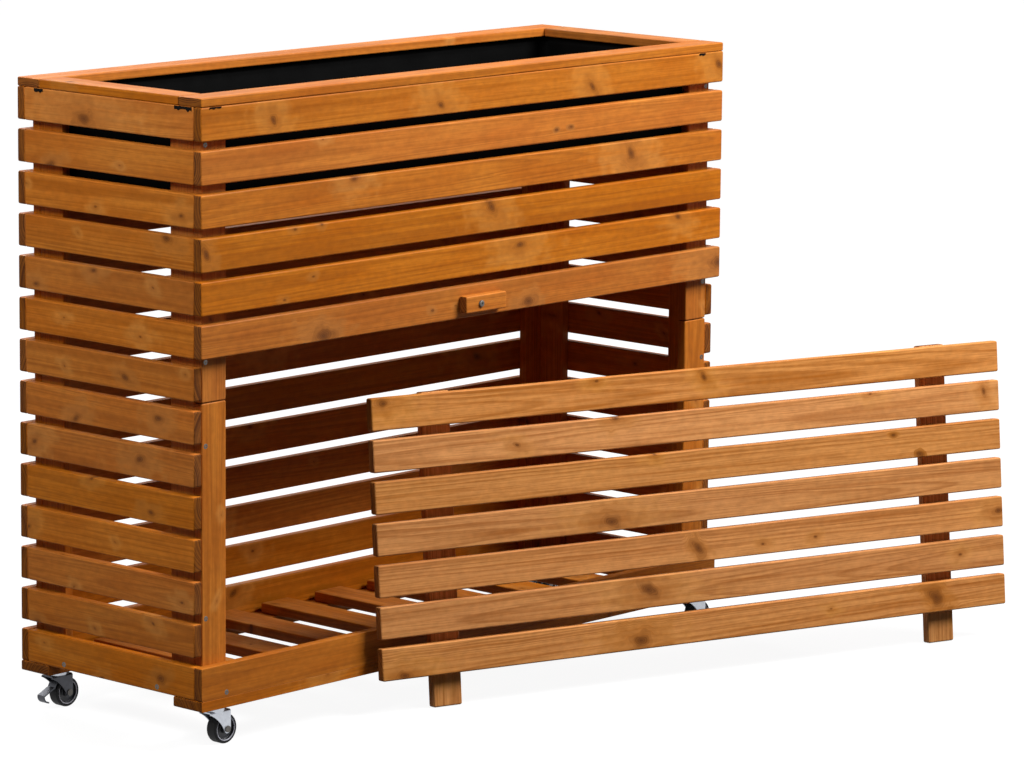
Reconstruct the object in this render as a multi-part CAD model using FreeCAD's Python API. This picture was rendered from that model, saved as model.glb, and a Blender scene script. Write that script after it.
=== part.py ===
"""Raised slatted planter on four casters, with a planting trough on top and storage space below.

Millimetres, +Z up. The origin is on the floor under the middle of the planter. X runs along the
front from left to right, Y runs from the front to the rear. The front panel of the storage space is
off its seat and stands on the floor in front of the opening, turned a little and leaning back.
"""
import FreeCAD
import Part
import math
import os

# Overall plan of the planter
LENGTH = 1100.0
DEPTH = 372.0

# Slats: every wall is built from one slat stock, one slat per level
LEVELS = 14
FIXED_FRONT_LEVELS = 6
SLAT_HEIGHT = 47.0
SLAT_GAP = 13.0
SLAT_THICKNESS = 15.0
EDGE_RADIUS = 2.5

# Upright battens behind the slats, and the flat rim on top
BATTEN_WIDTH = 47.0
BATTEN_THICKNESS = 15.0
BATTEN_SPLIT_DROP = 4.0
BATTEN_SPLIT_GAP = 0.6
RIM_WIDTH = 45.0
RIM_THICKNESS = 13.0

# Base boards and the open storage floor laid across them
BASE_WIDTH = 57.0
BASE_THICKNESS = 15.0
FLOOR_BOARD_WIDTH = 57.0
FLOOR_BOARD_THICKNESS = 15.0
FLOOR_BOARD_COUNT = 8
FLOOR_LEFT_GAP = 46.25
FLOOR_RIGHT_GAP = 58.25
FLOOR_REAR_GAP = 8.0
LEG_CLEARANCE = 1.0

# Trough: bearers level with the underside of one slat, floor boards and a liner
TROUGH_BEARER_LEVEL = 3
BEARER_WIDTH = 45.0
BEARER_THICKNESS = 16.0
TROUGH_BOARD_COUNT = 13
TROUGH_BOARD_WIDTH = 57.0
TROUGH_BOARD_THICKNESS = 14.0
LINER_WALL = 1.2
LINER_CLEARANCE = 0.3
LINER_CORNER_RADIUS = 12.0

# Turn button that keeps the front panel shut
BUTTON_SHORT_ARM = 31.0
BUTTON_LONG_ARM = 54.5
BUTTON_HEIGHT = 25.0
BUTTON_THICKNESS = 14.0
BUTTON_EDGE_RADIUS = 2.0
BUTTON_PIVOT_X = -3.0
BUTTON_PIVOT_DROP = 2.5
BUTTON_GAP = 0.3
BUTTON_SCREW_RADIUS = 2.5
BUTTON_SCREW_DEPTH = 13.0
BUTTON_HEAD_RADIUS = 5.0
BUTTON_HEAD_HEIGHT = 2.6
BUTTON_HEAD_ROUND = 1.5

# Front panel, and where its lower left corner stands from the planter's front left corner
PANEL_BATTEN_INSET = 90.0
PANEL_LEG_LENGTH = 49.0
PANEL_BATTEN_RISE = 1.0
PANEL_YAW = -16.9
PANEL_LEAN = -5.75
PANEL_STAND_ALONG = 330.0
PANEL_STAND_OUT = 30.7

# Countersunk wood screws
SCREW_HEAD_RADIUS = 3.8
SCREW_HEAD_HEIGHT = 2.4
SCREW_SHANK_RADIUS = 1.9
SCREW_LENGTH = 30.0
RAIL_SCREW_INSET = 48.0
RAIL_SCREW_RISE = 7.0
SIDE_SCREW_END_INSET = 13.0
UPPER_SCREW_DROP = 6.5
SPLIT_SCREW_DROP = 60.0
LOWER_SCREW_RISE = 113.0
PANEL_SCREW_LENGTH = 25.0

# Swivel casters
CASTER_FRONT_LEFT_INSET = 51.2
CASTER_REAR_LEFT_INSET = 43.4
CASTER_RIGHT_INSET = 22.0
CASTER_FRONT_SHIFT = 0.5
CASTER_REAR_SHIFT = 3.0
CASTER_TRAIL = 15.0
WHEEL_RADIUS = 21.5
WHEEL_WIDTH = 18.5
WHEEL_TOP_GAP = 4.4
TYRE_SHOULDER = 3.0
HUB_RADIUS = 17.9
HUB_RING = 1.9
HUB_RING_RECESS = 0.5
HUB_WEB = 7.0
HUB_BOSS_RADIUS = 6.5
AXLE_RADIUS = 3.0
AXLE_HEAD_RADIUS = 4.8
AXLE_HEAD_HEIGHT = 1.6
PLATE_THICKNESS = 2.0
PLATE_CORNER_RADIUS = 5.0
PLATE_HOLE_SPACING = 27.0
PLATE_HOLE_MARGIN = 5.5
PLATE_HOLE_RADIUS = 2.2
PLATE_SCREW_RADIUS = 1.9
PLATE_SCREW_HEAD_RADIUS = 3.4
PLATE_SCREW_HEAD_HEIGHT = 1.8
PLATE_SCREW_DEPTH = 12.0
RACE_OUTER_RADIUS = 15.2
RACE_INNER_RADIUS = 9.0
RACE_HEIGHT = 6.6
RACE_GAP = 0.3
CROWN_RADIUS = 14.0
FORK_SHEET = 2.0
FORK_SIDE_CLEARANCE = 0.95
FORK_EYE_RADIUS = 6.2
FORK_EYE_LOW_ANGLE = -80.0
FORK_EYE_FRONT_ANGLE = -160.0
FORK_TOE = 17.4
FORK_TOE_DROP = 1.5
FORK_SWEEP_BOW = 3.3
FORK_FOLD_RADIUS = 3.0
KINGPIN_RADIUS = 4.0
KINGPIN_HEAD_RADIUS = 6.5
KINGPIN_HEAD_HEIGHT = 1.6
PIN_CLEARANCE = 0.08
SEAT_GAP = 0.3

# Brake on the rear casters: a strap hung on a pin through the fork, round the tyre, out to a pedal
BRAKE_PIN_RADIUS = 1.5
BRAKE_PIN_ANGLE = 128.0
BRAKE_FOLD_ANGLE = 159.0
BRAKE_TYRE_GAP = 3.2
BRAKE_WIDTH = 14.0
BRAKE_SHEET = 2.0
BRAKE_EYE_RADIUS = 3.0
PEDAL_REACH = 20.2
PEDAL_DROP = 9.7
PEDAL_HOOK = 8.5
PEDAL_HOOK_ANGLE = 90.0

# How far off a direction an edge may run to count as along it, and the most of a thickness a rounding takes
ASKEW = 0.1
ROUNDING_LIMIT = 0.45

Vector = FreeCAD.Vector
GRAIN = {"x": Vector(1, 0, 0), "y": Vector(0, 1, 0), "z": Vector(0, 0, 1)}

# Heights and faces that the pieces share
slat_pitch = SLAT_HEIGHT + SLAT_GAP
crown_bottom = 2 * WHEEL_RADIUS + WHEEL_TOP_GAP
crown_top = crown_bottom + FORK_SHEET
race_bottom = crown_top + RACE_GAP
plate_bottom = race_bottom + RACE_HEIGHT
base_bottom = plate_bottom + PLATE_THICKNESS
base_top = base_bottom + BASE_THICKNESS
wall_top = base_top + (LEVELS - 1) * slat_pitch + SLAT_HEIGHT
right = LENGTH / 2
rear = DEPTH / 2
slat_inner_x = right - SLAT_THICKNESS
slat_inner_y = rear - SLAT_THICKNESS
batten_inner_x = slat_inner_x - BATTEN_THICKNESS
batten_inner_y = slat_inner_y - BATTEN_THICKNESS
side_batten_end_y = batten_inner_y - BATTEN_WIDTH


def level_bottom(level):
    """Height of the underside of the slat on a level, counted from 1 at the top."""
    return base_top + (LEVELS - level) * slat_pitch


def level_z(level):
    return level_bottom(level), level_bottom(level) + SLAT_HEIGHT


def edges_along(shape, direction):
    return [e for e in shape.Edges if e.tangentAt(e.FirstParameter).cross(direction).Length < ASKEW]


def board(x, y, z, grain):
    """A planed board between the given limits, its four long edges rounded."""
    sizes = (x[1] - x[0], y[1] - y[0], z[1] - z[0])
    box = Part.makeBox(*sizes, Vector(x[0], y[0], z[0]))
    return box.makeFillet(min(EDGE_RADIUS, ROUNDING_LIMIT * min(sizes)), edges_along(box, GRAIN[grain]))


def mirrored(limits):
    """The same limits on the other side of the middle."""
    return -limits[1], -limits[0]


def cylinder(radius, start, end):
    axis = end.sub(start)
    return Part.makeCylinder(radius, axis.Length, start, axis)


def screw(head, direction, length):
    """A countersunk wood screw: head is the middle of its top, direction points into the wood."""
    neck = head + direction * SCREW_HEAD_HEIGHT
    cone = Part.makeCone(SCREW_HEAD_RADIUS, SCREW_SHANK_RADIUS, SCREW_HEAD_HEIGHT, head, direction)
    return cone.fuse(cylinder(SCREW_SHANK_RADIUS, neck, head + direction * length)).removeSplitter()


def extruded_y(outline, half_width):
    """A face drawn in the XZ plane, carried from -half_width to +half_width along Y."""
    face = Part.Face(outline)
    face.translate(Vector(0, -half_width, 0))
    return face.extrude(Vector(0, 2 * half_width, 0))


def at(x, z):
    return Vector(x, 0, z)


def around(middle, radius, angle):
    """A point at a radius and an angle from a middle, in the XZ plane, with 0 towards +X."""
    turn = math.radians(angle)
    return middle + at(math.cos(turn), math.sin(turn)) * radius


nodes = {}

# Slatted walls: the front and rear slats cover the ends of the side slats
full_x = (-right, right)
side_y = (-slat_inner_y, slat_inner_y)
front_y = (-rear, -slat_inner_y)
rear_y = (slat_inner_y, rear)
left_x = (-right, -slat_inner_x)
right_x = (slat_inner_x, right)
all_levels = range(1, LEVELS + 1)
fixed_levels = range(1, FIXED_FRONT_LEVELS + 1)
front_slats = [board(full_x, front_y, level_z(level), "x") for level in fixed_levels]
front_rail = board(full_x, front_y, level_z(LEVELS), "x")
side_slats = {
    "left": [board(left_x, side_y, level_z(level), "y") for level in all_levels],
    "right": [board(right_x, side_y, level_z(level), "y") for level in all_levels],
}
rear_slats = [board(full_x, rear_y, level_z(level), "x") for level in all_levels]

# Flat rim: long boards run through, side boards butt between them
rim_z = (wall_top, wall_top + RIM_THICKNESS)
rim_between = (RIM_WIDTH - rear, rear - RIM_WIDTH)
rim_side_x = (right - RIM_WIDTH, right)
nodes["rim_front"] = board(full_x, (-rear, RIM_WIDTH - rear), rim_z, "x")
nodes["rim_rear"] = board(full_x, (rear - RIM_WIDTH, rear), rim_z, "x")
nodes["rim_left"] = board(mirrored(rim_side_x), rim_between, rim_z, "y")
nodes["rim_right"] = board(rim_side_x, rim_between, rim_z, "y")

# Corner battens: the front ones are split a little more than one level below the fixed front
split = level_bottom(FIXED_FRONT_LEVELS + 1) - BATTEN_SPLIT_DROP
corner_x = (slat_inner_x - BATTEN_WIDTH, slat_inner_x)
side_batten_x = (batten_inner_x, slat_inner_x)
front_batten_y = (-slat_inner_y, -batten_inner_y)
rear_batten_y = (batten_inner_y, slat_inner_y)
side_batten_y = (side_batten_end_y, batten_inner_y)
upper_z = (split + BATTEN_SPLIT_GAP, wall_top)
lower_z = (base_top, split)
whole_z = (base_top, wall_top)
for side in ("left", "right"):
    face_x = corner_x if side == "right" else mirrored(corner_x)
    edge_x = side_batten_x if side == "right" else mirrored(side_batten_x)
    nodes[f"front_upper_batten_{side}"] = board(face_x, front_batten_y, upper_z, "z")
    nodes[f"front_lower_batten_{side}"] = board(face_x, front_batten_y, lower_z, "z")
    nodes[f"rear_batten_{side}"] = board(face_x, rear_batten_y, whole_z, "z")
    nodes[f"{side}_front_batten"] = board(edge_x, mirrored(side_batten_y), whole_z, "z")
    nodes[f"{side}_rear_batten"] = board(edge_x, side_batten_y, whole_z, "z")

# Base boards under the front and rear walls, flush with the outside
base_z = (base_bottom, base_top)
base_front = board(full_x, (-rear, BASE_WIDTH - rear), base_z, "x")
base_rear = board(full_x, (rear - BASE_WIDTH, rear), base_z, "x")

# Storage floor: spaced boards on the base boards, and a short one along each side wall
floor_z = (base_top, base_top + FLOOR_BOARD_THICKNESS)
floor_y = (LEG_CLEARANCE - batten_inner_y, slat_inner_y - FLOOR_REAR_GAP)
floor_end_x = (slat_inner_x - FLOOR_BOARD_WIDTH, slat_inner_x)
floor_start = FLOOR_LEFT_GAP - floor_end_x[0]
floor_finish = floor_end_x[0] - FLOOR_RIGHT_GAP - FLOOR_BOARD_WIDTH
floor_pitch = (floor_finish - floor_start) / (FLOOR_BOARD_COUNT - 1)
floor_boards = []
for index in range(FLOOR_BOARD_COUNT):
    start = floor_start + index * floor_pitch
    floor_boards.append(board((start, start + FLOOR_BOARD_WIDTH), floor_y, floor_z, "y"))
floor_end_y = (-side_batten_end_y, side_batten_end_y)
floor_ends = {
    "left": board(mirrored(floor_end_x), floor_end_y, floor_z, "y"),
    "right": board(floor_end_x, floor_end_y, floor_z, "y"),
}

# Trough: two bearers between the corner battens, boards across them and the black liner inside
bearer_z = (level_bottom(TROUGH_BEARER_LEVEL), level_bottom(TROUGH_BEARER_LEVEL) + BEARER_THICKNESS)
bearer_x = (-batten_inner_x, batten_inner_x)
bearer_rear_y = (batten_inner_y - BEARER_WIDTH, batten_inner_y)
nodes["trough_bearer_front"] = board(bearer_x, mirrored(bearer_rear_y), bearer_z, "x")
nodes["trough_bearer_rear"] = board(bearer_x, bearer_rear_y, bearer_z, "x")
trough_floor_z = (bearer_z[1], bearer_z[1] + TROUGH_BOARD_THICKNESS)
trough_pitch = (2 * batten_inner_x - TROUGH_BOARD_WIDTH) / (TROUGH_BOARD_COUNT - 1)
trough_boards = []
for index in range(TROUGH_BOARD_COUNT):
    start = index * trough_pitch - batten_inner_x
    limits = (start, start + TROUGH_BOARD_WIDTH)
    trough_boards.append(board(limits, (-batten_inner_y, batten_inner_y), trough_floor_z, "y"))
nodes["trough_floor_boards"] = Part.makeCompound(trough_boards)


def upright_block(half_x, half_y, bottom, top, radius):
    """A block about the Z axis with rounded upright edges."""
    block = Part.makeBox(2 * half_x, 2 * half_y, top - bottom, Vector(-half_x, -half_y, bottom))
    return block.makeFillet(radius, edges_along(block, GRAIN["z"]))


liner_x = batten_inner_x - LINER_CLEARANCE
liner_y = batten_inner_y - LINER_CLEARANCE
liner_bottom = trough_floor_z[1]
liner_top = wall_top - LINER_CLEARANCE
liner_outside = upright_block(liner_x, liner_y, liner_bottom, liner_top, LINER_CORNER_RADIUS)
liner_inside = upright_block(
    liner_x - LINER_WALL,
    liner_y - LINER_WALL,
    liner_bottom + LINER_WALL,
    liner_top + LINER_WALL,
    LINER_CORNER_RADIUS - LINER_WALL,
)
nodes["trough_liner"] = liner_outside.cut(liner_inside)

# Turn button on the lowest fixed front slat, swinging on its own pan-head screw
button_z = sum(level_z(FIXED_FRONT_LEVELS)) / 2 - BUTTON_PIVOT_DROP
button_back = -rear - BUTTON_GAP
button_front = button_back - BUTTON_THICKNESS
button_x = (BUTTON_PIVOT_X - BUTTON_SHORT_ARM, BUTTON_PIVOT_X + BUTTON_LONG_ARM)
button_block = Part.makeBox(
    button_x[1] - button_x[0],
    BUTTON_THICKNESS,
    BUTTON_HEIGHT,
    Vector(button_x[0], button_front, button_z - BUTTON_HEIGHT / 2),
)
button_block = button_block.makeFillet(BUTTON_EDGE_RADIUS, button_block.Edges)
pivot_tip = Vector(BUTTON_PIVOT_X, BUTTON_SCREW_DEPTH - rear, button_z)
pivot_neck = Vector(BUTTON_PIVOT_X, button_front - SEAT_GAP, button_z)
pivot_head = Vector(BUTTON_PIVOT_X, button_front - SEAT_GAP - BUTTON_HEAD_HEIGHT, button_z)
button_shank = cylinder(BUTTON_SCREW_RADIUS, pivot_neck, pivot_tip)
head_disc = cylinder(BUTTON_HEAD_RADIUS, pivot_head, pivot_neck)
head_rim = min(head_disc.Edges, key=lambda edge: edge.CenterOfMass.y)
head_disc = head_disc.makeFillet(min(BUTTON_HEAD_ROUND, 2 * ROUNDING_LIMIT * BUTTON_HEAD_HEIGHT), [head_rim])
nodes["turn_button_screw"] = button_shank.fuse(head_disc).removeSplitter()
nodes["turn_button"] = button_block.cut(
    cylinder(BUTTON_SCREW_RADIUS + PIN_CLEARANCE, pivot_head, pivot_tip)
)
front_slats[-1] = front_slats[-1].cut(button_shank)

# Screws that show: front battens into the side battens, rail into battens, side slats into the floor
screw_x = batten_inner_x + BATTEN_THICKNESS / 2
inward = Vector(0, 1, 0)
batten_screws = []
base_screws = []
for side, sign in (("left", -1), ("right", 1)):
    upper = f"front_upper_batten_{side}"
    lower = f"front_lower_batten_{side}"
    edge = f"{side}_front_batten"
    heights = {upper: [level_bottom(1) - SLAT_GAP / 2, level_bottom(FIXED_FRONT_LEVELS) - UPPER_SCREW_DROP]}
    heights[lower] = [base_top + LOWER_SCREW_RISE, split - SPLIT_SCREW_DROP]
    for batten, places in heights.items():
        for height in places:
            piece = screw(Vector(sign * screw_x, -slat_inner_y, height), inward, SCREW_LENGTH)
            nodes[batten] = nodes[batten].cut(piece)
            nodes[edge] = nodes[edge].cut(piece)
            batten_screws.append(piece)
    rail_head = Vector(sign * (right - RAIL_SCREW_INSET), -rear, base_top + RAIL_SCREW_RISE)
    piece = screw(rail_head, inward, SCREW_LENGTH)
    front_rail = front_rail.cut(piece)
    nodes[lower] = nodes[lower].cut(piece)
    base_screws.append(piece)
    for end in (-1, 1):
        head = Vector(sign * right, end * (side_batten_end_y - SIDE_SCREW_END_INSET), floor_z[0])
        head.z += FLOOR_BOARD_THICKNESS / 2
        piece = screw(head, Vector(-sign, 0, 0), SCREW_LENGTH)
        side_slats[side][-1] = side_slats[side][-1].cut(piece)
        floor_ends[side] = floor_ends[side].cut(piece)
        base_screws.append(piece)
nodes["batten_screws"] = Part.makeCompound(batten_screws)
nodes["base_screws"] = Part.makeCompound(base_screws)
nodes["front_slats"] = Part.makeCompound(front_slats)
nodes["front_rail"] = front_rail
nodes["left_slats"] = Part.makeCompound(side_slats["left"])
nodes["right_slats"] = Part.makeCompound(side_slats["right"])
nodes["rear_slats"] = Part.makeCompound(rear_slats)
nodes["storage_floor_boards"] = Part.makeCompound(floor_boards + list(floor_ends.values()))

# Front panel, drawn upright with its lowest slat's front corner at the origin
panel_levels = LEVELS - 1 - FIXED_FRONT_LEVELS
panel_top = (panel_levels - 1) * slat_pitch + SLAT_HEIGHT
panel_y = (0.0, SLAT_THICKNESS)
panel_slats = [
    board((0.0, LENGTH), panel_y, (index * slat_pitch, index * slat_pitch + SLAT_HEIGHT), "x")
    for index in range(panel_levels)
]
panel_batten_y = (SLAT_THICKNESS, SLAT_THICKNESS + BATTEN_THICKNESS)
panel_batten_z = (-PANEL_LEG_LENGTH, panel_top + PANEL_BATTEN_RISE)
panel_battens = {}
panel_screws = []
for side, start in (("left", PANEL_BATTEN_INSET), ("right", LENGTH - PANEL_BATTEN_INSET - BATTEN_WIDTH)):
    batten = board((start, start + BATTEN_WIDTH), panel_batten_y, panel_batten_z, "z")
    for index in range(panel_levels):
        height = index * slat_pitch + SLAT_HEIGHT / 2
        head = Vector(start + BATTEN_WIDTH / 2, panel_batten_y[1], height)
        piece = screw(head, Vector(0, -1, 0), PANEL_SCREW_LENGTH)
        batten = batten.cut(piece)
        panel_slats[index] = panel_slats[index].cut(piece)
        panel_screws.append(piece)
    panel_battens[side] = batten
lean = math.radians(PANEL_LEAN)
panel_foot = PANEL_LEG_LENGTH * math.cos(lean) - panel_batten_y[1] * math.sin(lean)
panel_turn = FreeCAD.Rotation(GRAIN["z"], PANEL_YAW).multiply(FreeCAD.Rotation(GRAIN["x"], PANEL_LEAN))
panel_corner = Vector(PANEL_STAND_ALONG - right, -rear - PANEL_STAND_OUT, panel_foot)
panel_place = FreeCAD.Placement(panel_corner, panel_turn)


def stood(shape):
    """A piece of the panel where it stands on the floor, on the rear edges of its legs."""
    piece = shape.copy()
    piece.Placement = panel_place.multiply(piece.Placement)
    return piece


nodes["panel_slats"] = Part.makeCompound([stood(slat) for slat in panel_slats])
nodes["panel_batten_left"] = stood(panel_battens["left"])
nodes["panel_batten_right"] = stood(panel_battens["right"])
nodes["panel_screws"] = Part.makeCompound([stood(piece) for piece in panel_screws])

# Caster pieces, drawn about the swivel axis with the wheel trailing towards +X
fork_inner = WHEEL_WIDTH / 2 + FORK_SIDE_CLEARANCE
fork_outer = fork_inner + FORK_SHEET
axle_z = WHEEL_RADIUS
axle_middle = at(CASTER_TRAIL, axle_z)
brake_inside = WHEEL_RADIUS + BRAKE_TYRE_GAP
brake_pin = around(axle_middle, brake_inside + BRAKE_SHEET / 2, BRAKE_PIN_ANGLE)
plate_holes = [
    Vector(sx * PLATE_HOLE_SPACING / 2, sy * PLATE_HOLE_SPACING / 2, 0) for sx in (-1, 1) for sy in (-1, 1)
]


def across(radius, half_width, middle):
    """A round bar along Y, centred on a point of the wheel's middle plane."""
    reach = Vector(0, half_width, 0)
    return cylinder(radius, middle - reach, middle + reach)


def upright(radius, bottom, top):
    return cylinder(radius, at(0, bottom), at(0, top))


def caster_plate():
    """Stamped top plate with its pressed ball race and four screw holes."""
    half = PLATE_HOLE_SPACING / 2 + PLATE_HOLE_MARGIN
    plate = upright_block(half, half, plate_bottom, base_bottom, PLATE_CORNER_RADIUS)
    race = upright(RACE_OUTER_RADIUS, race_bottom, plate_bottom)
    plate = plate.fuse(race.cut(upright(RACE_INNER_RADIUS, race_bottom, plate_bottom)))
    for hole in plate_holes:
        plate = plate.cut(cylinder(PLATE_HOLE_RADIUS, hole + at(0, plate_bottom), hole + at(0, base_bottom)))
    return plate.cut(upright(KINGPIN_RADIUS, plate_bottom, base_bottom)).removeSplitter()


def caster_kingpin():
    """Rivet that holds the fork's crown up against the race."""
    head_top = crown_bottom - SEAT_GAP
    head = upright(KINGPIN_HEAD_RADIUS, head_top - KINGPIN_HEAD_HEIGHT, head_top)
    return upright(KINGPIN_RADIUS, head_top, base_bottom).fuse(head).removeSplitter()


def caster_plate_screws():
    screws = []
    for hole in plate_holes:
        seat = hole + at(0, plate_bottom)
        head = cylinder(PLATE_SCREW_HEAD_RADIUS, seat - at(0, PLATE_SCREW_HEAD_HEIGHT), seat)
        shank = cylinder(PLATE_SCREW_RADIUS, seat, hole + at(0, base_bottom + PLATE_SCREW_DEPTH))
        screws.append(head.fuse(shank).removeSplitter())
    return screws


def fork_leg_outline():
    """Side view of one fork leg: a wide crown end whose toe sweeps back to the axle's eye."""
    heel = CASTER_TRAIL + FORK_EYE_RADIUS
    toe = at(-FORK_TOE, crown_bottom - FORK_TOE_DROP)
    eye_rear = around(axle_middle, FORK_EYE_RADIUS, 0)
    eye_bottom = around(axle_middle, FORK_EYE_RADIUS, FORK_EYE_LOW_ANGLE)
    eye_front = around(axle_middle, FORK_EYE_RADIUS, FORK_EYE_FRONT_ANGLE)
    chord = eye_front - toe
    square = at(-chord.z, chord.x).normalize()
    sweep = (toe + eye_front) * 0.5 + square * FORK_SWEEP_BOW
    return Part.Wire([
        Part.makeLine(at(-FORK_TOE, crown_top), at(heel, crown_top)),
        Part.makeLine(at(heel, crown_top), eye_rear),
        Part.Arc(eye_rear, eye_bottom, eye_front).toShape(),
        Part.Arc(eye_front, sweep, toe).toShape(),
        Part.makeLine(toe, at(-FORK_TOE, crown_top)),
    ])


def caster_fork(braked):
    """Pressed fork: a round crown with two legs folded down past the wheel."""
    leg_wire = fork_leg_outline()
    folded = extruded_y(leg_wire, fork_outer)
    folds = [e for e in edges_along(folded, GRAIN["x"]) if e.CenterOfMass.z > crown_bottom]
    folded = folded.makeFillet(FORK_FOLD_RADIUS, folds)
    between = Part.makeBox(
        2 * (FORK_TOE + CASTER_TRAIL + FORK_EYE_RADIUS),
        2 * fork_inner,
        crown_bottom,
        Vector(-FORK_TOE - CASTER_TRAIL, -fork_inner, 0),
    )
    fork = folded.cut(between).fuse(upright(CROWN_RADIUS, crown_bottom, crown_top))
    fork = fork.cut(upright(KINGPIN_RADIUS + PIN_CLEARANCE, crown_bottom, crown_top))
    fork = fork.cut(across(AXLE_RADIUS, fork_outer, axle_middle))
    if braked:
        fork = fork.cut(across(BRAKE_PIN_RADIUS, fork_outer, brake_pin))
    return fork.removeSplitter()


def caster_axle():
    """Riveted axle with a flat head outside each fork leg."""
    axle = across(AXLE_RADIUS, fork_outer + AXLE_HEAD_HEIGHT, axle_middle)
    heads = across(AXLE_HEAD_RADIUS, fork_outer + AXLE_HEAD_HEIGHT, axle_middle)
    return axle.fuse(heads.cut(across(AXLE_HEAD_RADIUS, fork_outer, axle_middle))).removeSplitter()


def turned(half_section):
    """A wheel piece turned about the axle from corners of its half section, (radius, across)."""
    corners = [Vector(CASTER_TRAIL, across_y, axle_z + radius) for radius, across_y in half_section]
    face = Part.Face(Part.makePolygon(corners + corners[:1]))
    return face.revolve(axle_middle, Vector(0, 1, 0), 360)


def wheel_hub():
    """Moulded hub: a bored boss, a thin web and a raised ring under the tyre."""
    bore = AXLE_RADIUS + PIN_CLEARANCE
    boss = fork_inner - SEAT_GAP
    ring = WHEEL_WIDTH / 2 - HUB_RING_RECESS
    ring_inside = HUB_RADIUS - HUB_RING
    web = HUB_WEB / 2
    upper = [(bore, boss), (HUB_BOSS_RADIUS, boss), (HUB_BOSS_RADIUS, web), (ring_inside, web)]
    upper += [(ring_inside, ring), (HUB_RADIUS, ring)]
    return turned(upper + [(radius, -y) for radius, y in reversed(upper)])


def wheel_tyre():
    """Rubber tyre with rounded shoulders on the hub."""
    half = WHEEL_WIDTH / 2
    tyre = turned([(HUB_RADIUS, -half), (WHEEL_RADIUS, -half), (WHEEL_RADIUS, half), (HUB_RADIUS, half)])
    middle = (WHEEL_RADIUS + HUB_RADIUS) / 2
    outer = [e for e in tyre.Edges if isinstance(e.Curve, Part.Circle) and e.Curve.Radius > middle]
    rubber = WHEEL_RADIUS - HUB_RADIUS
    return tyre.makeFillet(min(TYRE_SHOULDER, 2 * ROUNDING_LIMIT * rubber), outer)


def brake_lever():
    """Strap of sheet steel on an eye: it follows the tyre, folds out to the pedal and hooks under."""
    half = BRAKE_WIDTH / 2
    strap_top = around(axle_middle, brake_inside, BRAKE_PIN_ANGLE)
    strap_middle = around(axle_middle, brake_inside, (BRAKE_PIN_ANGLE + BRAKE_FOLD_ANGLE) / 2)
    fold = around(axle_middle, brake_inside, BRAKE_FOLD_ANGLE)
    tip = fold + at(-PEDAL_REACH, -PEDAL_DROP)
    hook_middle = tip + at(PEDAL_HOOK, 0)
    hook_half = around(hook_middle, PEDAL_HOOK, 180 + PEDAL_HOOK_ANGLE / 2)
    hook_end = around(hook_middle, PEDAL_HOOK, 180 + PEDAL_HOOK_ANGLE)
    path = Part.Wire([
        Part.Arc(strap_top, strap_middle, fold).toShape(),
        Part.makeLine(fold, tip),
        Part.Arc(tip, hook_half, hook_end).toShape(),
    ])
    strap = path.makeOffset2D(-BRAKE_SHEET, 0, True, True, False)
    strap.translate(Vector(0, -half, 0))
    strap = strap.extrude(Vector(0, 2 * half, 0))
    lever = across(BRAKE_EYE_RADIUS, half, brake_pin).fuse(strap)
    return lever.cut(across(BRAKE_PIN_RADIUS + PIN_CLEARANCE, half, brake_pin)).removeSplitter()


caster_right_x = right - CASTER_RIGHT_INSET
caster_front_y = rear - BASE_WIDTH / 2 - CASTER_FRONT_SHIFT
caster_rear_y = rear - BASE_WIDTH / 2 + CASTER_REAR_SHIFT
kingpins = []
plate_screws = []
for place, middle in (
    ("front_left", Vector(CASTER_FRONT_LEFT_INSET - right, -caster_front_y, 0)),
    ("front_right", Vector(caster_right_x, -caster_front_y, 0)),
    ("rear_left", Vector(CASTER_REAR_LEFT_INSET - right, caster_rear_y, 0)),
    ("rear_right", Vector(caster_right_x, caster_rear_y, 0)),
):
    braked = place.startswith("rear")
    swung = {"fork": caster_fork(braked), "axle": caster_axle(), "hub": wheel_hub(), "tyre": wheel_tyre()}
    if braked:
        swung["brake_lever"] = brake_lever()
        swung["brake_pin"] = across(BRAKE_PIN_RADIUS, fork_outer, brake_pin)
    for piece, shape in swung.items():
        nodes[f"caster_{place}_{piece}"] = shape.translated(middle)
    nodes[f"caster_{place}_plate"] = caster_plate().translated(middle)
    kingpins.append(caster_kingpin().translated(middle))
    for piece in caster_plate_screws():
        plate_screws.append(piece.translated(middle))
for piece in plate_screws:
    base_front = base_front.cut(piece)
    base_rear = base_rear.cut(piece)
nodes["base_board_front"] = base_front
nodes["base_board_rear"] = base_rear
nodes["caster_kingpins"] = Part.makeCompound(kingpins)
nodes["caster_plate_screws"] = Part.makeCompound(plate_screws)

os.makedirs("parts", exist_ok=True)
for name, shape in nodes.items():
    shape.exportStep(f"parts/{name}.step")
print(len(nodes), "nodes")
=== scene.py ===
"""Looks of a raised slatted planter on casters, with its loose front panel standing before it."""
import bmesh
import bpy
import math
import random
from mathutils import Matrix, Vector, noise


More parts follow.
